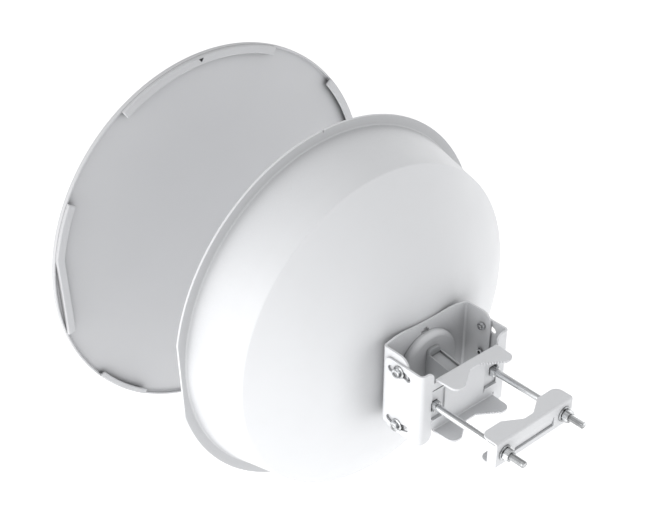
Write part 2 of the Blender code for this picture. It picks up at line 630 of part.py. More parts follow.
def empty(name, pivot, shift=0.0):
    """An axis that other objects hang on, at its pivot moved by shift along Y."""
    made = bpy.data.objects.new(name, None)
    bpy.context.scene.collection.objects.link(made)
    made["pivot"] = pivot
    made.location = (pivot[0], pivot[1] + shift, pivot[2])
    return made


def main():
    """Build the antenna."""
    for old in list(bpy.data.objects):
        bpy.data.objects.remove(old, do_unlink=True)
    pole_bracket()
    clamp_bolt("clamp_bolt_left", CLAMP_BOLT_X)
    clamp_bolt("clamp_bolt_right", -CLAMP_BOLT_X)
    jaw_axis = empty("jaw_axis", (0.0, 0.0, 0.0))
    jaw(jaw_axis)
    clamp_fasteners(jaw_axis)
    hinge = (0.0, HINGE_Y, 0.0)
    elevation_axis = empty("elevation_axis", hinge)
    shroud(elevation_axis)
    reflector_bowl(elevation_axis)
    dish_bracket(elevation_axis)
    hub(elevation_axis)
    radio(elevation_axis)
    feed(elevation_axis)
    elevation_fasteners(elevation_axis)
    cover(empty("cover_axis", hinge, shift=-COVER_SHIFT))


main()
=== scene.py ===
# A wireless dish antenna on its pole bracket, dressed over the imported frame.
# Metres, +Z up. The dish looks along -Y, the pole stands on the +Y side.

import json
import math

import bpy
from bpy.props import FloatProperty, FloatVectorProperty, IntProperty, PointerProperty
from bpy.types import Operator, Panel, PropertyGroup
from mathutils import Matrix, Vector


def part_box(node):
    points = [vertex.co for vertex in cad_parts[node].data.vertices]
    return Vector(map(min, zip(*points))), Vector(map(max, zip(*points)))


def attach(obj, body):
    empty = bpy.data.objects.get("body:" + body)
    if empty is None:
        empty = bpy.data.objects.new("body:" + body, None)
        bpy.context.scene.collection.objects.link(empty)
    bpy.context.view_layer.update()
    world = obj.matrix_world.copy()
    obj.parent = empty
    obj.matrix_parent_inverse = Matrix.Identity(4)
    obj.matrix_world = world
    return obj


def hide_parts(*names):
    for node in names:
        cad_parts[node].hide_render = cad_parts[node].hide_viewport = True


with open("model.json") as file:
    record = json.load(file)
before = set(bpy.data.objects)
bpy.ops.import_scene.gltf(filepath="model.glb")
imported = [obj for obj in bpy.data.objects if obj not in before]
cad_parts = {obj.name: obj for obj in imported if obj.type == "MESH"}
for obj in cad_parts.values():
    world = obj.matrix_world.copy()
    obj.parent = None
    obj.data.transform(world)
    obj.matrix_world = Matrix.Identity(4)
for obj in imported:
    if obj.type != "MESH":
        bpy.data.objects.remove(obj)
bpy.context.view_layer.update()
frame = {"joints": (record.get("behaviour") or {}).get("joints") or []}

HINGE = Vector(frame["joints"][0]["pos_m"])

bl_info = {
    "name": "Dish antenna",
    "version": (1, 0, 0),
    "blender": (4, 5, 0),
    "location": "View3D > Sidebar > Antenna",
    "description": "Builds a shrouded dish antenna with its bracket, clamp, feed and cover",
    "category": "Add Mesh",
}


# Sizes and colours that a user may change

def length(label, about, value):
    """A property that holds a length in metres."""
    return FloatProperty(name=label, description=about, default=value, min=0.0, precision=4,
                         unit="LENGTH", subtype="DISTANCE")


def offset(label, about, value):
    """A property that holds a place along an axis in metres."""
    return FloatProperty(name=label, description=about, default=value, unit="LENGTH", precision=4)


def colour(label, about, value):
    """A property that holds a colour."""
    return FloatVectorProperty(name=label, description=about, default=value, size=3, min=0.0, max=1.0,
                               subtype="COLOR")


class DishSizes(PropertyGroup):
    """Sizes of the dish shell, measured from its flange plane and axis."""
    rise: offset("Axis height", "Height of the dish axis over the middle of the bracket", 0.008)
    flange_y: offset("Flange place", "Where the back of the flange lies along Y", -0.206)
    flange_radius: length("Flange radius", "Outer radius of the flange", 0.230)
    flange_thickness: length("Flange thickness", "Thickness of the flange", 0.003)
    wall_radius: length("Wall radius", "Radius of the wall where it meets the flange", 0.218)
    crease_radius: length("Crease radius", "Radius where the wall turns into the bowl", 0.2005)
    crease_depth: length("Crease depth", "Depth of the crease behind the flange", 0.075)
    apex_depth: length("Apex depth", "Depth of the seat behind the flange", 0.1432)
    seat_radius: length("Seat radius", "Radius of the flat seat at the apex", 0.045)
    throat_radius: length("Throat radius", "Radius of the hole for the feed tube", 0.020)
    shell: length("Shell", "Thickness of the bowl and wall", 0.0025)
    notch: length("Notch", "Depth of the notch at the top of the flange", 0.0035)
    turns: IntProperty(name="Steps", description="Steps round the dish", default=192, min=48, max=512)


class CoverSizes(PropertyGroup):
    """Sizes of the front cover."""
    front_y: offset("Front place", "Where the outer face of the cover lies along Y", -0.439)
    back_y: offset("Rim edge place", "Where the free edge of the rim lies along Y", -0.4275)
    radius: length("Radius", "Outer radius of the cover", 0.243)
    wall: length("Wall", "Thickness of the rim and the face", 0.0025)
    crown: length("Crown", "How far the face is crowned outward", 0.002)
    hook_radius: length("Hook radius", "Inner radius of the hooks", 0.2315)
    hook: length("Hook thickness", "Thickness of the hooks", 0.0042)
    lower_hook_cut: length("Lower hook cut", "How much narrower the lower hooks are", 0.0035)
    rim_drop: length("Rim drop", "How far the rim stays below the hooks", 0.0045)


class BracketSizes(PropertyGroup):
    """Sizes of the two folded brackets."""
    half_width: length("Half width", "Half the width over the outer cheeks", 0.067)
    half_height: length("Half height", "Half the height of the outer bracket", 0.0455)
    depth: length("Depth", "Depth of the outer cheeks", 0.055)
    sheet: length("Sheet", "Thickness of the folded sheet", 0.0025)
    wing_reach: length("Wing reach", "How far the wings reach toward the pole", 0.028)
    wing_height: length("Wing height", "Height of the wings over the middle", 0.0355)
    wing_half_width: length("Wing half width", "Half the width of the wings at their root", 0.0465)
    wing_bend: length("Wing bend", "Outer radius of the fold behind each wing", 0.004)
    teeth: IntProperty(name="Teeth", description="Teeth on each side of a notch", default=9, min=1, max=40)
    tooth: length("Tooth", "Depth of the teeth", 0.0017)
    slot_radius: length("Slot radius", "Radius of the curved slots round the elevation axis", 0.0355)
    slot_width: length("Slot width", "Width of the curved slots", 0.008)
    inner_top: offset("Inner top", "Top of the inner bracket's cheeks", 0.0538)
    inner_bottom: offset("Inner bottom", "Bottom of the inner bracket", -0.045)
    inner_end: offset("Inner end", "Where the inner cheeks end along Y", -0.023)
    pad_inner: length("Pad inner side", "Where the bolt pads start beside the middle", 0.031)
    pad_outer: length("Pad outer side", "Where the bolt pads end beside the middle", 0.0505)


class ClampSizes(PropertyGroup):
    """Sizes of the pole clamp and of the tilt bolts and nuts."""
    bolt_x: length("Bolt place", "Distance of the long bolts from the middle", 0.046)
    bolt_radius: length("Bolt radius", "Radius of the long bolts", 0.004)
    bolt_end: length("Bolt end", "How far the long bolts reach", 0.1245)
    thread_start: length("Thread start", "Where the thread begins", 0.090)
    jaw_y: length("Jaw place", "Where the back of the jaw lies", 0.098)
    jaw_half_width: length("Jaw half width", "Half the width of the jaw", 0.0585)
    jaw_half_height: length("Jaw half height", "Half the height of the jaw", 0.016)
    jaw_reach: length("Jaw reach", "How far the jaw's wings reach", 0.023)
    window_half_width: length("Window half width", "Half the width of the jaw's window", 0.0305)
    nut_flats: length("Nut flats", "Width of the clamp nuts over their flats", 0.013)
    tilt_flats: length("Tilt head flats", "Width of the tilt bolts' heads over their flats", 0.010)
    tilt_radius: length("Tilt bolt radius", "Radius of the tilt bolts", 0.0025)
    tilt_nut_flats: length("Tilt nut flats", "Width of the tilt nuts over their flats", 0.008)


class FeedSizes(PropertyGroup):
    """Sizes of the hub, the radio block and the feed."""
    hub_rise: offset("Hub height", "Height of the hub's middle", 0.001)
    hub_radius: length("Hub radius", "Radius of the domed hub", 0.042)
    hub_depth: length("Hub depth", "Depth of the domed hub", 0.009)
    radio_half_width: length("Radio half width", "Half the width of the radio block", 0.0093)
    radio_end: offset("Radio end", "Where the radio block ends along Y", -0.012)
    radio_root_top: offset("Radio root top", "Top of the radio block at the hub", 0.0225)
    radio_end_top: offset("Radio end top", "Top of the radio block at its free end", 0.0168)
    spigot_radius: length("Spigot radius", "Radius of the hub's spigot in the bracket", 0.0297)
    tube_radius: length("Tube radius", "Radius of the feed tube", 0.0125)
    plate_radius: length("Plate radius", "Radius of the splash plate", 0.030)


class Finishes(PropertyGroup):
    """Colours of the finishes."""
    paint: colour("Paint", "White powder coat", (0.83, 0.84, 0.86))
    cover: colour("Cover", "Moulded cover", (0.66, 0.665, 0.68))
    zinc: colour("Zinc", "Zinc plating", (0.60, 0.61, 0.62))
    radio: colour("Radio", "Radio block", (0.55, 0.56, 0.575))
    lens: colour("Lens", "Feed cone", (0.80, 0.79, 0.76))
    mark: colour("Mark", "Dark moulded mark", (0.03, 0.03, 0.032))


class StageSizes(PropertyGroup):
    """Camera, floor and light."""
    focal: FloatProperty(name="Focal length", description="Camera focal length in millimetres",
                         default=70.244, min=10.0)
    azimuth: FloatProperty(name="Azimuth", description="Camera azimuth in degrees", default=138.7332)
    elevation: FloatProperty(name="Elevation", description="Camera elevation in degrees", default=32.3521)
    place: FloatVectorProperty(name="Camera place", description="Where the camera stands", unit="LENGTH",
                               subtype="TRANSLATION", default=(0.819667, 0.702328, 0.838044))
    floor: offset("Floor", "Height of the floor", -1.1)
    lamp_size: length("Lamp size", "Side of each square lamp", 2.2)
    key_power: FloatProperty(name="Key power", description="Power of the key lamp", default=30.0,
                             unit="POWER")
    rim_power: FloatProperty(name="Rim power", description="Power of the rim lamp", default=11.0,
                             unit="POWER")


# Modelling helpers

# What an operator returns when its piece is finished
DONE = {"FINISHED"}
# Clearance between pieces that fit together, and the distance under which points are doubles, in metres
GAP = 0.0003
DOUBLES = 0.000002
# Angles in degrees: edges flatter than the first are dissolved, edges up to the second are shaded smooth,
# and edges past the third are rounded
FLAT_ANGLE, SMOOTH_ANGLE, SHARP_ANGLE = 0.4, 32.0, 35.0


def deselect():
    """Leave edit mode and select nothing."""
    if bpy.context.object and bpy.context.object.mode != "OBJECT":
        bpy.ops.object.mode_set(mode="OBJECT")
    bpy.ops.object.select_all(action="DESELECT")


def activate(piece):
    """Make one piece the only selected and active one."""
    deselect()
    piece.select_set(True)
    bpy.context.view_layer.objects.active = piece


def trace(name, points):
    """A closed line through the points, extruded from one vertex, left in edit mode and all selected."""
    deselect()
    bpy.ops.mesh.primitive_plane_add(size=0.01)
    piece = bpy.context.object
    piece.name = piece.data.name = name
    bpy.ops.object.mode_set(mode="EDIT")
    bpy.ops.mesh.select_all(action="SELECT")
    bpy.ops.mesh.merge(type="CENTER")
    bpy.ops.transform.translate(value=points[0])
    for here, there in zip(points, points[1:] + points[:1]):
        bpy.ops.mesh.extrude_region_move(TRANSFORM_OT_translate={"value": Vector(there) - Vector(here)})
    bpy.ops.mesh.select_all(action="SELECT")
    bpy.ops.mesh.remove_doubles(threshold=DOUBLES / 2)
    bpy.ops.mesh.select_all(action="SELECT")
    return piece


def close_up():
    """Merge doubles, turn the faces outward and leave edit mode."""
    bpy.ops.mesh.select_all(action="SELECT")
    bpy.ops.mesh.remove_doubles(threshold=DOUBLES)
    bpy.ops.mesh.select_all(action="SELECT")
    bpy.ops.mesh.normals_make_consistent(inside=False)
    bpy.ops.object.mode_set(mode="OBJECT")


def pull(name, outline, axis, low, high):
    """A flat outline pulled along an axis, from low to high."""
    def place(a, b, c):
        return {"X": (c, a, b), "Y": (a, c, b), "Z": (a, b, c)}[axis]
    piece = trace(name, [place(a, b, low) for a, b in outline])
    bpy.ops.mesh.edge_face_add()
    bpy.ops.mesh.extrude_region_move(TRANSFORM_OT_translate={"value": place(0.0, 0.0, high - low)})
    close_up()
    return piece


def rectangle(low_a, high_a, low_b, high_b):
    """Four corners of a rectangle."""
    return [(low_a, low_b), (high_a, low_b), (high_a, high_b), (low_a, high_b)]


def spin(name, profile, steps, centre=(0.0, 0.0)):
    """A closed profile of (radius, y) spun round an axis along Y at centre (x, z)."""
    piece = trace(name, [(centre[0] + radius, y, centre[1]) for radius, y in profile])
    bpy.ops.mesh.spin(steps=steps, angle=math.tau, center=(centre[0], 0.0, centre[1]), axis=(0.0, 1.0, 0.0))
    close_up()
    return piece


def fillet(points, steps=5):
    """Corner points, each with an optional radius as its third value, as a line with rounded corners."""
    line = []
    for index, point in enumerate(points):
        if len(point) == 2:
            line.append(point)
            continue
        here = Vector(point[:2])
        before = (Vector(points[index - 1][:2]) - here).normalized()
        after = (Vector(points[(index + 1) % len(points)][:2]) - here).normalized()
        half = before.angle(after) / 2
        reach = point[2] / math.tan(half)
        centre = here + (before + after).normalized() * (point[2] / math.sin(half))
        start, end = here + before * reach - centre, here + after * reach - centre
        turn = start.angle_signed(end)
        for step in range(steps + 1):
            spot = centre + Matrix.Rotation(-turn * step / steps, 2) @ start
            line.append((spot.x, spot.y))
    return line


def mirror_outline(half):
    """A half outline at positive a, completed at negative a."""
    return half + [(-point[0], *point[1:]) for point in reversed(half)]


def arc(centre, radius, start, end, steps):
    """Points on an arc, angles in degrees."""
    points = []
    for step in range(steps + 1):
        angle = math.radians(start + (end - start) * step / steps)
        points.append((centre[0] + radius * math.cos(angle), centre[1] + radius * math.sin(angle)))
    return points


def merge_with(piece, tool, operation):
    """Cut, add or intersect with a tool and drop the tool."""
    activate(piece)
    modifier = piece.modifiers.new(operation, "BOOLEAN")
    modifier.operation = operation
    modifier.solver = "EXACT"
    modifier.object = tool
    bpy.ops.object.modifier_apply(modifier=modifier.name)
    bpy.data.objects.remove(tool, do_unlink=True)


def cut(piece, tool):
    """Take a tool's shape away from a piece."""
    merge_with(piece, tool, "DIFFERENCE")


def join(piece, *others):
    """Join other closed shells into a piece."""
    activate(piece)
    for other in others:
        other.select_set(True)
    bpy.ops.object.join()


def soften(piece, width, segments=2):
    """Clean flat faces and round the sharp edges."""
    activate(piece)
    bpy.ops.object.mode_set(mode="EDIT")
    bpy.ops.mesh.select_all(action="SELECT")
    bpy.ops.mesh.dissolve_limited(angle_limit=math.radians(FLAT_ANGLE))
    bpy.ops.mesh.select_all(action="SELECT")
    bpy.ops.mesh.remove_doubles(threshold=10 * DOUBLES)
    bpy.ops.object.mode_set(mode="OBJECT")
    modifier = piece.modifiers.new("edges", "BEVEL")
    modifier.width = width
    modifier.segments = segments
    modifier.limit_method = "ANGLE"
    modifier.angle_limit = math.radians(SHARP_ANGLE)
    bpy.ops.object.modifier_apply(modifier=modifier.name)


def settle(piece, body, material, replaces=()):
    """Shade a piece, give it its material, and seat it on its body."""
    activate(piece)
    bpy.ops.object.transform_apply(location=True, rotation=True, scale=True)
    bpy.ops.object.shade_smooth_by_angle(angle=math.radians(SMOOTH_ANGLE))
    modifier = piece.modifiers.new("flat_faces", "WEIGHTED_NORMAL")
    modifier.keep_sharp = True
    bpy.ops.object.modifier_apply(modifier=modifier.name)
    piece.data.materials.clear()
    piece.data.materials.append(material)
    if replaces:
        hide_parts(*replaces)
    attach(piece, body)


def copy_to(piece, name, matrix):
    """A copy of a piece with its own mesh, placed by a matrix."""
    made = piece.copy()
    made.data = piece.data.copy()
    made.name = made.data.name = name
    bpy.context.scene.collection.objects.link(made)
    made.data.transform(matrix)
    return made


def drop(*spares):
    """Remove the models that the copies were made from."""
    for spare in spares:
        bpy.data.objects.remove(spare, do_unlink=True)


# Finishes

def new_finish(name, base, roughness, metallic=0.0):
    """A material, with its node tree, its shader and its object coordinates."""
    made = bpy.data.materials.new(name)
    made.use_nodes = True
    tree = made.node_tree
    shader = tree.nodes["Principled BSDF"]
    shader.inputs["Base Color"].default_value = (*base, 1.0)
    shader.inputs["Roughness"].default_value = roughness
    shader.inputs["Metallic"].default_value = metallic
    place = tree.nodes.new("ShaderNodeTexCoord").outputs["Object"]
    return made, tree, shader, place


def noise(tree, place, scale, detail=3.0, rough=0.55, stretch=None):
    """A noise pattern, stretched where asked."""
    if stretch:
        mapping = tree.nodes.new("ShaderNodeMapping")
        mapping.inputs["Scale"].default_value = stretch
        tree.links.new(place, mapping.inputs["Vector"])
        place = mapping.outputs["Vector"]
    node = tree.nodes.new("ShaderNodeTexNoise")
    node.inputs["Scale"].default_value = scale
    node.inputs["Detail"].default_value = detail
    node.inputs["Roughness"].default_value = rough
    tree.links.new(place, node.inputs["Vector"])
    return node.outputs["Fac"]


def spread(tree, value, low, high, from_low=0.3, from_high=0.7):
    """A value mapped to a new range."""
    node = tree.nodes.new("ShaderNodeMapRange")
    for key, number in (("From Min", from_low), ("From Max", from_high), ("To Min", low), ("To Max", high)):
        node.inputs[key].default_value = number
    tree.links.new(value, node.inputs["Value"])
    return node.outputs["Result"]


# Places of the two colours and of the result among the sockets of a Mix node
FIRST_COLOUR, SECOND_COLOUR, MIXED_COLOUR = 6, 7, 2


def blend_colours(tree, amount, first, second):
    """Two colours mixed by an amount; a colour may be a socket."""
    node = tree.nodes.new("ShaderNodeMix")
    node.data_type = "RGBA"
    tree.links.new(amount, node.inputs["Factor"])
    for key, value in ((FIRST_COLOUR, first), (SECOND_COLOUR, second)):
        if isinstance(value, bpy.types.NodeSocket):
            tree.links.new(value, node.inputs[key])
        else:
            node.inputs[key].default_value = (*value, 1.0)
    return node.outputs[MIXED_COLOUR]


def bump(tree, shader, height, strength, distance):
    """Bump from a height pattern."""
    node = tree.nodes.new("ShaderNodeBump")
    node.inputs["Strength"].default_value = strength
    node.inputs["Distance"].default_value = distance
    tree.links.new(height, node.inputs["Height"])
    tree.links.new(node.outputs["Normal"], shader.inputs["Normal"])


def tint(base, factor):
    """A colour made lighter or darker."""
    return tuple(min(1.0, channel * factor) for channel in base)


def paint_corner_shade(tree, tone, darkest, reach, shut=0.15, open_at=0.85):
    """A tone darkened by painted shade in corners, within reach of another surface.

    It falls to its darkest share where no more than shut of the view is open, and is whole from open_at on.
    """
    node = tree.nodes.new("ShaderNodeAmbientOcclusion")
    node.samples = 12
    node.inputs["Distance"].default_value = reach
    openness = spread(tree, node.outputs["AO"], 0.0, 1.0, shut, open_at)
    multiply = tree.nodes.new("ShaderNodeMix")
    multiply.data_type = "RGBA"
    multiply.blend_type = "MULTIPLY"
    multiply.inputs["Factor"].default_value = 1.0
    depth = blend_colours(tree, openness, (darkest,) * 3, (1.0, 1.0, 1.0))
    tree.links.new(tone, multiply.inputs[FIRST_COLOUR])
    tree.links.new(depth, multiply.inputs[SECOND_COLOUR])
    return multiply.outputs[MIXED_COLOUR]


def powder_coat(name, base, darkest, reach, shut, open_at):
    """White powder coat: fine orange peel, faint cloudiness, dust, and painted shade that darkens the
    corners.
    """
    dusty = tuple(channel * share for channel, share in zip(base, (0.975, 0.972, 0.965)))
    made, tree, shader, place = new_finish(name, base, 0.42)
    clouds = spread(tree, noise(tree, place, 9.0), 0.0, 1.0)
    dust = spread(tree, noise(tree, place, 55.0, 5.0, 0.65), 0.0, 0.35, 0.5, 0.8)
    tone = blend_colours(tree, clouds, tint(base, 0.99), tint(base, 1.01))
    tone = blend_colours(tree, dust, tone, dusty)
    # Painted shade: the colour is darker in corners and near other surfaces.
    tone = paint_corner_shade(tree, tone, darkest, reach, shut, open_at)
    tree.links.new(tone, shader.inputs["Base Color"])
    tree.links.new(spread(tree, noise(tree, place, 30.0), 0.38, 0.5), shader.inputs["Roughness"])
    bump(tree, shader, noise(tree, place, 900.0, 2.0), 0.05, 0.0004)
    return made


def moulded(name, base, roughness, grain=1400.0):
    """Moulded plastic: fine spark-eroded grain, slow flow shading and painted shade that darkens the corners.
    """
    made, tree, shader, place = new_finish(name, base, roughness)
    flow = spread(tree, noise(tree, place, 5.0, 2.0), 0.0, 1.0)
    tone = blend_colours(tree, flow, tint(base, 0.985), tint(base, 1.015))
    # Painted shade: the colour is darker in corners and near other surfaces.
    tree.links.new(paint_corner_shade(tree, tone, 0.28, 0.022, 0.2, 0.88), shader.inputs["Base Color"])
    tree.links.new(spread(tree, noise(tree, place, 40.0), roughness - 0.06, roughness + 0.06),
                   shader.inputs["Roughness"])
    bump(tree, shader, noise(tree, place, grain, 2.0), 0.07, 0.0003)
    return made


def plated(name, base, roughness=0.24, stretch=(1.0, 0.02, 1.0), bands=230.0, dark=0.42, light=1.45):
    """Bare or plated metal: light and dark bands along the grain, partly tool marks and partly painted
    reflection, cloudy crystals, dull streaks and painted shade in corners.
    """
    made, tree, shader, place = new_finish(name, base, roughness, 0.94)
    clouds = spread(tree, noise(tree, place, 300.0, 4.0, 0.6), 0.0, 0.5)
    # Light and dark bands along the grain: partly tool marks, partly painted reflection bands.
    drawn_marks_and_reflection_bands = spread(tree, noise(tree, place, bands, 2.0, 0.5, stretch), 0.0, 1.0, 0.40, 0.60)
    tone = blend_colours(tree, drawn_marks_and_reflection_bands, tint(base, dark), tint(base, light))
    tone = blend_colours(tree, clouds, tone, base)
    # Painted shade: the colour is darker in corners and near other surfaces.
    tree.links.new(paint_corner_shade(tree, tone, 0.25, 0.006), shader.inputs["Base Color"])
    streaks = noise(tree, place, 700.0, 3.0, 0.6, stretch)
    tree.links.new(spread(tree, streaks, roughness - 0.08, roughness + 0.10), shader.inputs["Roughness"])
    bump(tree, shader, streaks, 0.10, 0.0002)
    return made


FINISHES = {}


def finish(kind):
    """The material of one kind of finish, made when first asked for."""
    colours = bpy.context.scene.antenna_finishes
    bright = tint(colours.zinc, 1.25)
    makers = {
        # The two powder coats are one paint; they differ only in how deep their painted corner shade is.
        "powder_coat_soft_painted_shade": lambda name: powder_coat(name, colours.paint, 0.70, 0.060, 0.78, 1.00),
        "powder_coat_deep_painted_shade": lambda name: powder_coat(name, colours.paint, 0.34, 0.09, 0.02, 0.75),
        "cover_moulding": lambda name: moulded(name, colours.cover, 0.5),
        "radio_moulding": lambda name: moulded(name, colours.radio, 0.45, 1800.0),
        "lens_moulding": lambda name: moulded(name, colours.lens, 0.4, 900.0),
        "mark_moulding": lambda name: moulded(name, colours.mark, 0.6, 2400.0),
        "zinc_plate": lambda name: plated(name, colours.zinc),
        "turned_aluminium": lambda name: plated(name, bright, 0.26, (0.4, 3.0, 0.4), 300.0, 0.90, 1.06),
    }
    if kind not in FINISHES:
        FINISHES[kind] = makers[kind](kind)
    return FINISHES[kind]


# Dish

def polar(radius, angle):
    """A point (x, z) at an angle in degrees round the dish axis."""
    return arc((0.0, bpy.context.scene.antenna_dish.rise), radius, angle, angle, 1)[0]


class ANTENNA_OT_dish(Operator):
    """Spin the flange, wall and bowl as one shell, then cut the flats and the notch"""
    bl_idname = "antenna.dish"
    bl_label = "Dish shell"

    def execute(self, context):
        s = context.scene.antenna_dish
        profile = [(radius, s.flange_y + depth) for radius, depth in fillet(self.section(s))]
        shell = spin("dish_shell", profile, s.turns, (0.0, s.rise))
        low, high, outside = s.flange_y - 0.02, s.flange_y + 0.003, s.flange_radius + 0.02
        flat_angle = 12.7
        for middle in (-1.8, 172.8):
            start, end = middle - flat_angle, middle + flat_angle
            outline = [polar(s.flange_radius, start), polar(outside, start), polar(outside, end),
                       polar(s.flange_radius, end)]
            cut(shell, pull("flat", outline, "Y", low, high))
        notch_place, notch_angle = 84.7, 2.5
        notch = [polar(s.flange_radius - s.notch, notch_place), polar(outside, notch_place - notch_angle),
                 polar(outside, notch_place + notch_angle)]
        cut(shell, pull("notch", notch, "Y", low, high))
        settle(shell, "dish", finish("powder_coat_soft_painted_shade"), ("shroud", "reflector_bowl"))
        return DONE

    def section(self, s):
        """Half the section of the shell as (radius, depth behind the flange), with its corner radii."""
        slope = (s.apex_depth - s.crease_depth) / (s.crease_radius ** 2 - s.seat_radius ** 2)
        steps = 18
        outer, inner = [], []
        for step in range(1, steps + 1):
            radius = s.crease_radius + (s.seat_radius - s.crease_radius) * step / steps
            depth = s.crease_depth + slope * (s.crease_radius ** 2 - radius ** 2)
            lean = math.atan(2 * slope * radius)
            outer.append((radius, depth))
            inner.insert(0, (radius - s.shell * math.sin(lean), depth - s.shell * math.cos(lean)))
        flange_edge, wall_foot, crease = 0.0009, 0.0025, 0.0035
        section = [(s.flange_radius, -s.flange_thickness, flange_edge), (s.flange_radius, 0.0, flange_edge),
                   (s.wall_radius, 0.0, wall_foot), (s.crease_radius, s.crease_depth, crease)]
        throat = [(s.throat_radius, s.apex_depth), (s.throat_radius, s.apex_depth - s.shell)]
        section += outer + throat + inner
        section += [(s.crease_radius - 0.0021, s.crease_depth - 0.0016, 0.005),
                    (s.wall_radius - s.shell, -s.flange_thickness, wall_foot)]
        return section


# Start and end of each hook's round stretch in degrees. Where there are three angles, the first is the far
# end of a straight stretch.
HOOKS = {"top": (57.4, 113.5), "left": (-14.1, 11.0, 28.2), "right": (185.1, 160.0, 140.9),
         "lower_left": (-55.6, -35.3), "lower_right": (206.3, 226.6)}


class ANTENNA_OT_cover(Operator):
    """Spin the cover's face and rim, and add its hooks and its mark"""
    bl_idname = "antenna.cover"
    bl_label = "Front cover"

    def execute(self, context):
        s = context.scene.antenna_cover
        d = context.scene.antenna_dish
        face, inside = s.front_y, s.front_y + s.wall
        rim = s.back_y - s.rim_drop
        crown = [(0.0, face - s.crown), (0.5 * s.radius, face - 0.75 * s.crown),
                 (0.85 * s.radius, face - 0.25 * s.crown)]
        bore = s.radius - s.wall
        profile = crown + [(s.radius, face, 0.0018), (s.radius, rim, 0.0009), (bore, rim, 0.0009),
                           (bore, inside, 0.0016)]
        profile += [(radius, y + s.wall) for radius, y in reversed(crown)]
        shell = spin("cover_shell", fillet(profile), d.turns, (0.0, d.rise))
        outer = s.radius - 0.0010
        sunk = 0.0005
        hooks = []
        for name, angles in HOOKS.items():
            inner = s.hook_radius + (s.lower_hook_cut if "lower" in name else 0.0)
            lip = pull("lip", self.band(angles, outer, inner), "Y", s.back_y - s.hook, s.back_y + 0.0002)
            soften(lip, 0.0018, 4)
            web = self.band(angles, outer, outer - s.wall)
            hooks += [lip, pull("web", web, "Y", inside - sunk, s.back_y - s.hook / 2)]
            if len(angles) == 3:
                pocket = arc((0.0, d.rise), s.radius - 0.0012, angles[0], angles[1], 16)
                hooks.append(pull("pocket", pocket, "Y", inside - sunk, rim - 0.0015))
        join(shell, *hooks)
        settle(shell, "cover", finish("cover_moulding"), ("cover_face", "cover_rim"))
        tip = [polar(0.2352, 85.7), polar(0.2398, 84.9), polar(0.2398, 86.5)]
        mark = pull("cover_mark", tip, "Y", s.back_y - 0.001, s.back_y + 0.0007)
        soften(mark, 0.0002, 1)
        settle(mark, "cover", finish("mark_moulding"))
        return DONE

    def band(self, angles, outer, inner):
        """A band between two radii over a hook's angles, straight at its far end where there are three."""
        start, end = angles[-2:]
        centre = (0.0, bpy.context.scene.antenna_dish.rise)
        outline = arc(centre, outer, start, end, 24) + arc(centre, inner, end, start, 24)
        if len(angles) == 3:
            outline = [polar(outer, angles[0])] + outline + [polar(inner, angles[0])]
        return outline


# Brackets

def folded(name, half_width, front, back, bend, sheet, low, high):
    """A sheet folded to a U: cheeks from front to back and a web whose outer face is at back."""
    step = 1.0 if back > front else -1.0
    inner = half_width - sheet
    inner_back, inner_bend = back - step * sheet, bend - sheet
    outline = [(half_width, front), (half_width, back, bend), (-half_width, back, bend),
               (-half_width, front), (-inner, front), (-inner, inner_back, inner_bend),
               (inner, inner_back, inner_bend), (inner, front)]
    return pull(name, fillet(outline, 6), "Z", low, high)


def bent_wing(name, tip, low, high, bend, sheet, half_width, sign):
    """A strip that runs up the web from low and folds over at high, toward tip along Y."""
    outline = [(0.0, low), (0.0, high - sheet, bend - sheet), (tip, high - sheet), (tip, high),
               (-sheet, high, bend), (-sheet, low)]
    return pull(name, [(y, sign * z) for y, z in fillet(outline, 6)], "X", -half_width, half_width)


def toothed(start, end, count, depth):
    """A toothed line between two points."""
    start, end = Vector(start), Vector(end)
    side = (end - start).normalized().orthogonal() * depth
    points = [tuple(start)]
    for tooth in range(count):
        points.append(tuple(start.lerp(end, (tooth + 0.5) / count) + side))
        points.append(tuple(start.lerp(end, (tooth + 1.0) / count)))
    return points


def curved_slot(radius, half, sign, wide):
    """A cutter along an arc round the elevation axis, with round ends."""
    span = 21.0
    centre = (HINGE.y, 0.0)
    outline = arc(centre, radius + half, 90 - span, 90 + span, 16)
    end = arc(centre, radius, 90 + span, 90 + span, 1)[0]
    outline += arc(end, half, 90 + span, 270 + span, 8)[1:-1]
    outline += arc(centre, radius - half, 90 + span, 90 - span, 16)
    end = arc(centre, radius, 90 - span, 90 - span, 1)[0]
    outline += arc(end, half, 270 - span, 450 - span, 8)[1:-1]
    return pull("slot", [(y, sign * z) for y, z in outline], "X", -wide, wide)


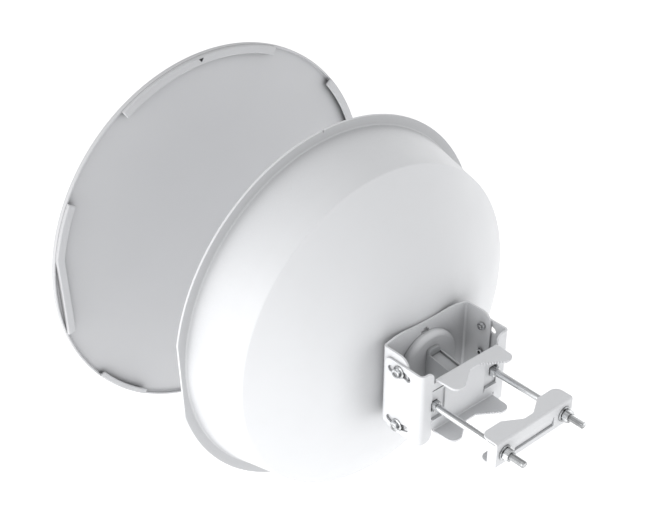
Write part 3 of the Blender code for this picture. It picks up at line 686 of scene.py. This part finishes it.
class ANTENNA_OT_pole_bracket(Operator):
    """Fold the outer bracket, with its curved slots, sunk pads and toothed wings"""
    bl_idname = "antenna.pole_bracket"
    bl_label = "Pole bracket"

    def execute(self, context):
        s = context.scene.antenna_bracket
        height, wide = s.half_height, s.half_width + 0.01
        body = folded("bracket_sheet", s.half_width, -s.depth, 0.0, 0.006, s.sheet, -height, height)
        side = [(-s.depth, height, 0.008), (-s.depth, -height, 0.013), (0.01, -height), (0.01, height)]
        merge_with(body, pull("side", fillet(side, 6), "X", -wide, wide), "INTERSECT")
        for sign in (1, -1):
            self.wing(body, s, sign)
        for sign in (1, -1):
            self.pad(body, s, sign)
            x, half = sign * context.scene.antenna_clamp.bolt_x, 0.0056
            cut(body, pull("hole", rectangle(x - half, x + half, -half, half), "Y", -0.02, 0.02))
            cut(body, curved_slot(s.slot_radius, s.slot_width / 2, sign, wide))
        soften(body, 0.0004)
        settle(body, "pole_mount", finish("powder_coat_deep_painted_shade"), ("pole_bracket",))
        return DONE

    def wing(self, body, s, sign):
        """Cut the relief in the web's edge, and fold a notched wing out of it."""
        low = s.wing_height - s.wing_bend - 0.001
        relief_x, relief_radius = 0.057, 0.008
        relief = [(relief_x - relief_radius, low)]
        relief += arc((relief_x, s.half_height - relief_radius), relief_radius, 180, 90, 6)
        relief += [(relief_x, s.half_height + 0.01)]
        outline = [(x, sign * z) for x, z in mirror_outline(relief)]
        cut(body, pull("relief", outline, "Y", -0.012, 0.01))
        root, reach = s.wing_half_width, s.wing_reach
        wing = bent_wing("wing", reach + 0.01, low - 0.001, s.wing_height, s.wing_bend, s.sheet, root, sign)
        edge = toothed((0.0295, reach - 0.0012), (0.0065, 0.0115), s.teeth, s.tooth)
        half = [(root, -0.02), (root, 0.0), (root - 0.0015, reach, 0.008), (0.0312, reach, 0.002),
                edge.pop(0)]
        plan = pull("plan", mirror_outline(fillet(half) + edge), "Z", -0.05, 0.05)
        merge_with(wing, plan, "INTERSECT")
        merge_with(body, wing, "UNION")

    def pad(self, body, s, sign):
        """Sink a bolt pad into the web, between two small ramps."""
        low_x, high_x = sorted((sign * s.pad_inner, sign * s.pad_outer))
        low_z, high_z, border = -0.0168, 0.0217, 0.0015
        back = rectangle(low_x - border, high_x + border, -0.0185, high_z + border)
        merge_with(body, pull("swell", back, "Y", -0.0042, -0.001), "UNION")
        cut(body, pull("pad", rectangle(low_x, high_x, low_z, high_z), "Y", -0.0020, 0.01))
        ramp = [(-0.0025, 0.0142), (-0.0021, 0.0142), (0.0008, 0.0211), (-0.0025, 0.0211)]
        merge_with(body, pull("upper_ramp", ramp, "X", low_x - 0.0003, high_x + 0.0003), "UNION")
        ramp = [(-0.001, -0.028), (0.0017, -0.0172), (-0.001, -0.0172)]
        merge_with(body, pull("lower_ramp", ramp, "X", low_x + 0.0004, high_x - 0.0004), "UNION")


class ANTENNA_OT_dish_bracket(Operator):
    """Fold the inner bracket behind the dish, with its crowned web"""
    bl_idname = "antenna.dish_bracket"
    bl_label = "Dish bracket"

    def execute(self, context):
        s = context.scene.antenna_bracket
        d = context.scene.antenna_dish
        front = d.flange_y + d.apex_depth + GAP
        half = s.half_width - s.sheet - GAP
        wide, high, top, bottom = half + 0.01, s.inner_top + 0.01, s.inner_top, s.inner_bottom
        body = folded("inner_sheet", half, s.inner_end, front, 0.005, s.sheet, bottom, high)
        crown = [(wide, bottom - 0.01), (wide, top), (0.0585, top, 0.012), (0.047, top + 0.0028, 0.02),
                 (0.036, top + 0.0035, 0.02), (0.013, top + 0.0024, 0.02)]
        merge_with(body, pull("crown", fillet(mirror_outline(crown)), "Y", front - 0.01, 0.0), "INTERSECT")
        before, behind, corner = front - 0.01, front + 0.012, 0.014
        side = [(s.inner_end, top, corner), (behind, top), (behind, high + 0.01), (before, high + 0.01),
                (before, bottom - 0.01), (behind, bottom - 0.01), (behind, bottom),
                (s.inner_end, bottom, corner)]
        merge_with(body, pull("side", fillet(side, 8), "X", -wide, wide), "INTERSECT")
        for sign in (1, -1):
            hole = arc((HINGE.y, sign * s.slot_radius), 0.0029, 0, 345, 23)
            cut(body, pull("hole", hole, "X", -wide, wide))
        opening = rectangle(0.0, 0.030, before, front + 0.01)
        cut(body, spin("opening", opening, 64, (0.0, context.scene.antenna_feed.hub_rise)))
        clip = [(-0.0030, 0.0425), (0.0085, 0.0425), (0.0085, 0.0460), (0.0050, 0.0460), (0.0050, 0.0485),
                (-0.0005, 0.0485), (-0.0005, 0.0460), (-0.0030, 0.0460)]
        cut(body, pull("clip", clip, "Y", before, front + 0.01))
        soften(body, 0.00045)
        settle(body, "dish", finish("powder_coat_deep_painted_shade"), ("dish_bracket",))
        return DONE


class ANTENNA_OT_jaw(Operator):
    """Fold the clamp jaw with its notched wings, end lips and pushed-in window"""
    bl_idname = "antenna.jaw"
    bl_label = "Clamp jaw"

    def execute(self, context):
        s = context.scene.antenna_clamp
        sheet = context.scene.antenna_bracket.sheet
        width, height, face = s.jaw_half_width, s.jaw_half_height, s.jaw_y
        front = face - s.jaw_reach
        before, inner, bend, inner_bend = front - 0.01, height - sheet, 0.003, 0.0008
        channel = [(before, inner), (face - sheet, inner, inner_bend), (face - sheet, -inner, inner_bend),
                   (before, -inner), (before, -height), (face, -height, bend), (face, height, bend),
                   (before, height)]
        body = pull("jaw_sheet", fillet(channel, 5), "X", -width, width)
        half = [(width, face + 0.01), (width, front, 0.009), (0.0285, front, 0.005),
                (0.007, face - 0.0100, 0.007)]
        merge_with(body, pull("plan", fillet(mirror_outline(half), 6), "Z", -0.03, 0.03), "INTERSECT")
        for sign in (1, -1):
            low_x, high_x = sorted((sign * (width - sheet), sign * width))
            lip = rectangle(low_x, high_x, 0.0012 - height, 0.0129)
            merge_with(body, pull("lip", lip, "Y", face - 0.012, face - 0.0012), "UNION")
            hole = rectangle(0.0, s.bolt_radius + GAP, face - 0.01, face + 0.01)
            cut(body, spin("hole", hole, 32, (sign * s.bolt_x, 0.0)))
        wide, low, high = s.window_half_width, -0.0078, 0.004
        window = [(-wide, low, 0.001), (wide, low, 0.001), (wide, high, 0.0005), (-wide, high, 0.0005)]
        cut(body, pull("window", fillet(window, 3), "Y", face - 0.01, face + 0.01))
        wide -= GAP
        end = low + 0.0015
        tongue = [(face - 0.0003, high + 0.001), (face - 0.0022, end), (face - 0.0044, end),
                  (face - 0.0022, high + 0.002)]
        merge_with(body, pull("tongue", tongue, "X", -wide, wide), "UNION")
        soften(body, 0.0004)
        settle(body, "jaw", finish("powder_coat_deep_painted_shade"), ("clamp_jaw",))
        return DONE


# Fasteners

def hexagon(flats):
    """Six corners of a hexagon."""
    return arc((0.0, 0.0), flats / math.sqrt(3), 0, 300, 5)


def hex_body(name, flats, low, high, both=True):
    """A hexagon along Y with its corners chamfered by a cone at its free end, or at both."""
    piece = pull(name, hexagon(flats), "Y", low, high)
    corner, drop = flats / math.sqrt(3) + 0.0002, 0.07 * flats
    start = [(0.0, low), (flats / 2, low), (corner, low + drop)] if both else [(0.0, low), (corner, low)]
    profile = start + [(corner, high - drop), (flats / 2, high), (0.0, high)]
    merge_with(piece, spin("cone", profile, 48), "INTERSECT")
    return piece


def threaded(radius, start, end, pitch, depth):
    """Profile points of a threaded stretch."""
    points = []
    for turn in range(int((end - start) / pitch)):
        y = start + turn * pitch
        points += [(radius - depth, y), (radius, y + pitch / 2)]
    return points


class ANTENNA_OT_clamp_bolts(Operator):
    """Turn the long carriage bolts with their square necks and threads"""
    bl_idname = "antenna.clamp_bolts"
    bl_label = "Clamp bolts"

    def execute(self, context):
        s = context.scene.antenna_clamp
        radius, head, head_radius, dome = s.bolt_radius, -0.0043, 0.0085, 0.0035
        rim = head - 0.001
        profile = [(0.0, rim - dome)]
        for angle in (18, 36, 54, 72):
            lean = math.radians(angle)
            profile.append((head_radius * math.sin(lean), rim - dome * math.cos(lean)))
        profile += [(head_radius, rim, 0.0003), (head_radius, head, 0.0003), (radius, head)]
        profile = fillet(profile, 2) + [(radius, s.thread_start)]
        pitch, depth, chamfer = 0.00125, 0.00035, 0.0008
        profile += threaded(radius, s.thread_start + 0.0006, s.bolt_end - 0.0020, pitch, depth)
        profile += [(radius, s.bolt_end - chamfer), (radius - chamfer, s.bolt_end), (0.0, s.bolt_end)]
        stud = spin("stud", profile, 32)
        half, neck_end = 0.005, 0.004
        neck = pull("neck", rectangle(-half, half, -half, half), "Y", head - 0.0005, neck_end)
        soften(neck, 0.0005)
        join(stud, neck)
        for sign, side in ((1, "left"), (-1, "right")):
            made = copy_to(stud, "clamp_stud_" + side, Matrix.Translation((sign * s.bolt_x, 0.0, 0.0)))
            settle(made, "pole_mount", finish("zinc_plate"), ("clamp_bolt_" + side,))
        drop(stud)
        return DONE


class ANTENNA_OT_clamp_nuts(Operator):
    """Make the washers and chamfered nuts behind the jaw"""
    bl_idname = "antenna.clamp_nuts"
    bl_label = "Clamp nuts"

    def execute(self, context):
        s = context.scene.antenna_clamp
        low = s.jaw_y + GAP
        bore, outer, high = s.bolt_radius + GAP, 0.0088, low + 0.0017
        ring = [(bore, low), (outer, low, 0.0003), (outer, high, 0.0004), (bore, high)]
        washer = spin("washer", fillet(ring, 2), 40)
        nut = hex_body("nut", s.nut_flats, low + 0.002, low + 0.0085)
        cut(nut, spin("bore", rectangle(0.0, bore, low - 0.01, low + 0.03), 32))
        soften(nut, 0.00015, 1)
        for sign, side in ((1, "left"), (-1, "right")):
            shift = Matrix.Translation((sign * s.bolt_x, 0.0, 0.0))
            turn = Matrix.Rotation(math.radians(14.0 * sign), 4, "Y")
            made = copy_to(washer, "jaw_washer_" + side, shift)
            settle(made, "jaw", finish("zinc_plate"), ("clamp_washer_" + side,))
            made = copy_to(nut, "jaw_nut_" + side, shift @ turn)
            settle(made, "jaw", finish("zinc_plate"), ("clamp_nut_" + side,))
        drop(washer, nut)
        return DONE


class ANTENNA_OT_tilt_fasteners(Operator):
    """Make the flanged bolts in the curved slots, their nuts inside, and the pivot nuts"""
    bl_idname = "antenna.tilt_fasteners"
    bl_label = "Tilt fasteners"

    def execute(self, context):
        s = context.scene.antenna_bracket
        c = context.scene.antenna_clamp
        face = s.half_width + GAP
        inside = s.half_width - 2 * s.sheet - 2 * GAP
        bolt = self.bolt(face, inside, c.tilt_radius, c.tilt_flats)
        nut = hex_body("nut", c.tilt_nut_flats, inside - 0.0045, inside - 0.0001)
        cut(nut, spin("bore", rectangle(0.0, c.tilt_radius + GAP, inside - 0.02, inside + 0.02), 32))
        soften(nut, 0.00015, 1)
        pivot = self.pivot_nut(inside)
        zinc = finish("zinc_plate")
        for sign, side in ((1, "left"), (-1, "right")):
            swing = Matrix.Rotation(-sign * math.pi / 2, 4, "Z")
            middle = Matrix.Translation((0.0, HINGE.y, 0.0))
            settle(copy_to(pivot, "pivot_nut_" + side, middle @ swing), "dish", zinc)
            for level, height in ((1, "upper"), (-1, "lower")):
                place = Matrix.Translation((0.0, HINGE.y, level * s.slot_radius))
                turn = Matrix.Rotation(math.radians(11.0 + 17.0 * level + 8.0 * sign), 4, "X")
                name = side + "_" + height
                made = copy_to(bolt, "tilt_bolt_" + name, place @ turn @ swing)
                settle(made, "dish", zinc, ("elevation_bolt_" + name,))
                made = copy_to(nut, "tilt_nut_" + name, place @ turn @ swing)
                settle(made, "dish", zinc, ("elevation_nut_" + name,))
        drop(bolt, nut, pivot)
        return DONE

    def bolt(self, face, inside, radius, flats):
        """A flanged bolt along Y with a dished head and a threaded end."""
        ring = [(radius, face), (0.0072, face, 0.0002), (0.0075, face + 0.0007, 0.0002),
                (0.0056, face + 0.0018), (radius, face + 0.0018)]
        bolt = spin("bolt", fillet(ring, 2), 48)
        head = hex_body("head", flats, face + 0.001, face + 0.0055, both=False)
        cup = [(0.0, face + 0.0046), (0.0026, face + 0.0048), (0.0034, face + 0.008), (0.0, face + 0.008)]
        cut(head, spin("cup", cup, 32))
        soften(head, 0.00015, 1)
        pitch, depth = 0.0008, 0.0003
        shank = [(0.0, inside - 0.006), (radius - 0.0007, inside - 0.006)]
        shank += threaded(radius, inside - 0.0056, inside + 0.0005, pitch, depth)
        shank += [(radius, inside + 0.001), (radius, face + 0.0012), (0.0, face + 0.0012)]
        join(bolt, head, spin("shank", shank, 24))
        return bolt

    def pivot_nut(self, inside):
        """A round press nut with a sunk middle, for the pivot inside each cheek."""
        top, floor, foot = inside - 0.0030, inside - 0.0012, inside - 0.0003
        profile = [(0.0, floor), (0.0022, floor), (0.0022, top, 0.0003), (0.0036, top, 0.0006),
                   (0.0040, foot), (0.0, foot)]
        return spin("pivot", fillet(profile, 3), 40)


# Hub, radio block and feed

class ANTENNA_OT_hub(Operator):
    """Turn the domed hub behind the dish"""
    bl_idname = "antenna.hub"
    bl_label = "Hub"

    def execute(self, context):
        s = context.scene.antenna_feed
        d = context.scene.antenna_dish
        front = d.flange_y + d.apex_depth + GAP
        back = front + context.scene.antenna_bracket.sheet + GAP
        end = back + s.hub_depth
        profile = [(0.0, front), (s.spigot_radius, front, 0.0003), (s.spigot_radius, back),
                   (s.hub_radius, back, 0.0004), (s.hub_radius, end, 0.006), (0.012, end + 0.0002),
                   (0.0, end + 0.0002)]
        hub = spin("hub_cap", fillet(profile, 8), 96, (0.0, s.hub_rise))
        settle(hub, "dish", finish("powder_coat_deep_painted_shade"), ("hub_dome",))
        return DONE


class ANTENNA_OT_radio(Operator):
    """Shape the tapering radio block with its arched collar and its sunk lid"""
    bl_idname = "antenna.radio"
    bl_label = "Radio block"

    def execute(self, context):
        s = context.scene.antenna_feed
        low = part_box("radio_block")[0]
        start, end, half = low.y, s.radio_end, s.radio_half_width
        outline = [(start, low.z), (end, low.z + 0.0055), (end, s.radio_end_top), (start, s.radio_root_top)]
        body = pull("radio_housing", outline, "X", -half, half)
        cut(body, self.slab("recess", 0.0, -0.004, 0.01))
        arch = [(0.009, 0.019), (0.009, 0.0262, 0.004), (0.0045, 0.0278, 0.006)]
        collar = pull("collar", fillet(mirror_outline(arch), 5), "Y", start, start + 0.0043)
        merge_with(body, collar, "UNION")
        soften(body, 0.0005)
        settle(body, "dish", finish("radio_moulding"), ("radio_block",))
        lid = self.slab("radio_cover", 0.0003, -0.0037, -0.0025)
        soften(lid, 0.0003)
        settle(lid, "dish", finish("radio_moulding"), ("radio_lid",))
        return DONE

    def slab(self, name, margin, low, high):
        """A slab that follows the block's sloping top, from low to high over it."""
        s = bpy.context.scene.antenna_feed
        start, end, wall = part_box("radio_block")[0].y, s.radio_end, 0.0018
        ends = []
        for y in (start + 0.0045 + margin, end - 0.0025 - margin):
            share = (y - start) / (end - start)
            ends.append((y, s.radio_root_top + (s.radio_end_top - s.radio_root_top) * share))
        outline = [(y, z + low) for y, z in ends] + [(y, z + high) for y, z in reversed(ends)]
        half = s.radio_half_width - margin - wall
        return pull(name, outline, "X", -half, half)


class ANTENNA_OT_feed(Operator):
    """Turn the feed tube, its cone and its splash plate"""
    bl_idname = "antenna.feed"
    bl_label = "Feed"

    def execute(self, context):
        s = context.scene.antenna_feed
        d = context.scene.antenna_dish
        centre = (0.0, d.rise)
        radius, collar, foot = s.tube_radius, s.tube_radius + 0.002, 0.028
        root = d.flange_y + d.apex_depth
        seat = root - d.shell - GAP
        tip = d.flange_y + 0.026
        tube = [(0.0, tip), (radius, tip, 0.0005), (radius, seat - 0.020), (collar, seat - 0.018),
                (collar, seat - 0.008), (foot - 0.002, seat - 0.008, 0.0015), (foot, seat - 0.005, 0.0008),
                (foot, seat), (radius, seat), (radius, root), (0.0, root)]
        made = spin("feed_horn", fillet(tube, 3), 64, centre)
        settle(made, "dish", finish("turned_aluminium"), ("feed_tube",))
        plate = d.flange_y + 0.008
        start, end, wide, taper = plate + 0.0033, tip - GAP, s.plate_radius - 0.0022, 0.0153
        cone = [(0.0, start), (wide, start, 0.0006)]
        for share in (0.0, 0.25, 0.5, 0.75, 1.0):
            cone.append((wide - taper * share, start + (end - start) * (0.12 + 0.88 * share)))
        cone.append((0.0, end))
        made = spin("feed_lens", fillet(cone, 2), 64, centre)
        settle(made, "dish", finish("lens_moulding"), ("feed_cone",))
        groove, back = plate + 0.0008, plate + 0.003
        rings = [(0.0, back), (0.0, plate), (0.006, plate), (0.0075, groove), (0.011, groove),
                 (0.0125, plate), (s.plate_radius, plate, 0.0008), (s.plate_radius, back, 0.0008)]
        made = spin("splash_plate", fillet(rings, 3), 64, centre)
        settle(made, "dish", finish("turned_aluminium"), ("sub_reflector",))
        return DONE


# Stage

class ANTENNA_OT_stage(Operator):
    """Set up the floor, the soft light and the camera"""
    bl_idname = "antenna.stage"
    bl_label = "Stage"

    def execute(self, context):
        s = context.scene.antenna_stage
        self.floor(s.floor)
        self.sky(context)
        for name, side, power in (("key", 1, s.key_power), ("rim", -1, s.rim_power)):
            place = (2.7 * side, -0.4, 0.5)
            bpy.ops.object.light_add(type="AREA", location=place)
            lamp = context.object
            lamp.name = name
            lamp.data.size = s.lamp_size
            lamp.data.energy = power
            aim = Vector((0.0, -0.1, 0.0)) - Vector(place)
            lamp.rotation_euler = aim.to_track_quat("-Z", "Y").to_euler()
        azimuth, elevation = math.radians(s.azimuth), math.radians(s.elevation)
        back = Vector((math.sin(azimuth) * math.cos(elevation), -math.cos(azimuth) * math.cos(elevation),
                       math.sin(elevation)))
        right = Vector((0.0, 0.0, 1.0)).cross(back).normalized()
        above = back.cross(right)
        bpy.ops.object.camera_add(location=s.place)
        camera = context.object
        camera.name = "photo_camera"
        camera.rotation_euler = Matrix((right, above, back)).transposed().to_euler()
        camera.data.lens = s.focal
        camera.data.sensor_width = 36.0
        camera.data.clip_end = 200.0
        context.scene.camera = camera
        context.scene.view_settings.view_transform = "Standard"
        return DONE

    def floor(self, height):
        """A wide pale floor that gives off a little light of its own."""
        deselect()
        bpy.ops.mesh.primitive_plane_add(size=60.0, location=(0.0, 0.0, height))
        floor = bpy.context.object
        floor.name = "floor"
        made, tree, shader, place = new_finish("pale_floor", (0.9, 0.9, 0.9), 0.9)
        clouds = spread(tree, noise(tree, place, 0.7), 0.0, 1.0)
        tone = blend_colours(tree, clouds, (0.88, 0.88, 0.88), (0.92, 0.92, 0.92))
        tree.links.new(tone, shader.inputs["Base Color"])
        shader.inputs["Emission Color"].default_value = (1.0, 1.0, 1.0, 1.0)
        shader.inputs["Emission Strength"].default_value = 0.55
        floor.data.materials.append(made)

    def sky(self, context):
        """A white sky that is a little stronger near the horizon than above."""
        world = bpy.data.worlds.new("studio")
        world.use_nodes = True
        context.scene.world = world
        nodes, links = world.node_tree.nodes, world.node_tree.links
        sky = nodes["Background"]
        up = nodes.new("ShaderNodeTexCoord").outputs["Generated"]
        split = nodes.new("ShaderNodeSeparateXYZ")
        links.new(up, split.inputs[0])
        level = spread(world.node_tree, split.outputs["Z"], 0.95, 0.60, -0.05, 0.45)
        links.new(level, sky.inputs["Strength"])
        sky.inputs["Color"].default_value = (1.0, 1.0, 1.0, 1.0)


class ANTENNA_PT_panel(Panel):
    """Lists the sizes and colours, and the buttons that build the pieces"""
    bl_idname = "ANTENNA_PT_panel"
    bl_label = "Dish antenna"
    bl_space_type = "VIEW_3D"
    bl_region_type = "UI"
    bl_category = "Antenna"

    def draw(self, context):
        for name, group in GROUPS.items():
            column = self.layout.box().column()
            column.label(text=name.replace("antenna_", "").title())
            for key in group.__annotations__:
                column.prop(getattr(context.scene, name), key)
        for maker in MAKERS:
            self.layout.operator(maker.bl_idname)


GROUPS = {"antenna_dish": DishSizes, "antenna_cover": CoverSizes, "antenna_bracket": BracketSizes,
          "antenna_clamp": ClampSizes, "antenna_feed": FeedSizes, "antenna_finishes": Finishes,
          "antenna_stage": StageSizes}
MAKERS = (ANTENNA_OT_dish, ANTENNA_OT_cover, ANTENNA_OT_pole_bracket, ANTENNA_OT_dish_bracket, ANTENNA_OT_jaw,
          ANTENNA_OT_clamp_bolts, ANTENNA_OT_clamp_nuts, ANTENNA_OT_tilt_fasteners, ANTENNA_OT_hub,
          ANTENNA_OT_radio, ANTENNA_OT_feed, ANTENNA_OT_stage)


def register():
    """Register the classes and hang the sizes on the scene."""
    for kind in (*GROUPS.values(), *MAKERS, ANTENNA_PT_panel):
        bpy.utils.register_class(kind)
    for name, group in GROUPS.items():
        setattr(bpy.types.Scene, name, PointerProperty(type=group))


def unregister():
    """Take the sizes off the scene and the classes out."""
    for name in GROUPS:
        delattr(bpy.types.Scene, name)
    for kind in (ANTENNA_PT_panel, *reversed(MAKERS), *reversed(list(GROUPS.values()))):
        bpy.utils.unregister_class(kind)


def main():
    """Register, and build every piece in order."""
    register()
    for maker in MAKERS:
        package, name = maker.bl_idname.split(".")
        getattr(getattr(bpy.ops, package), name)()
    deselect()


if __name__ == "__main__":
    main()
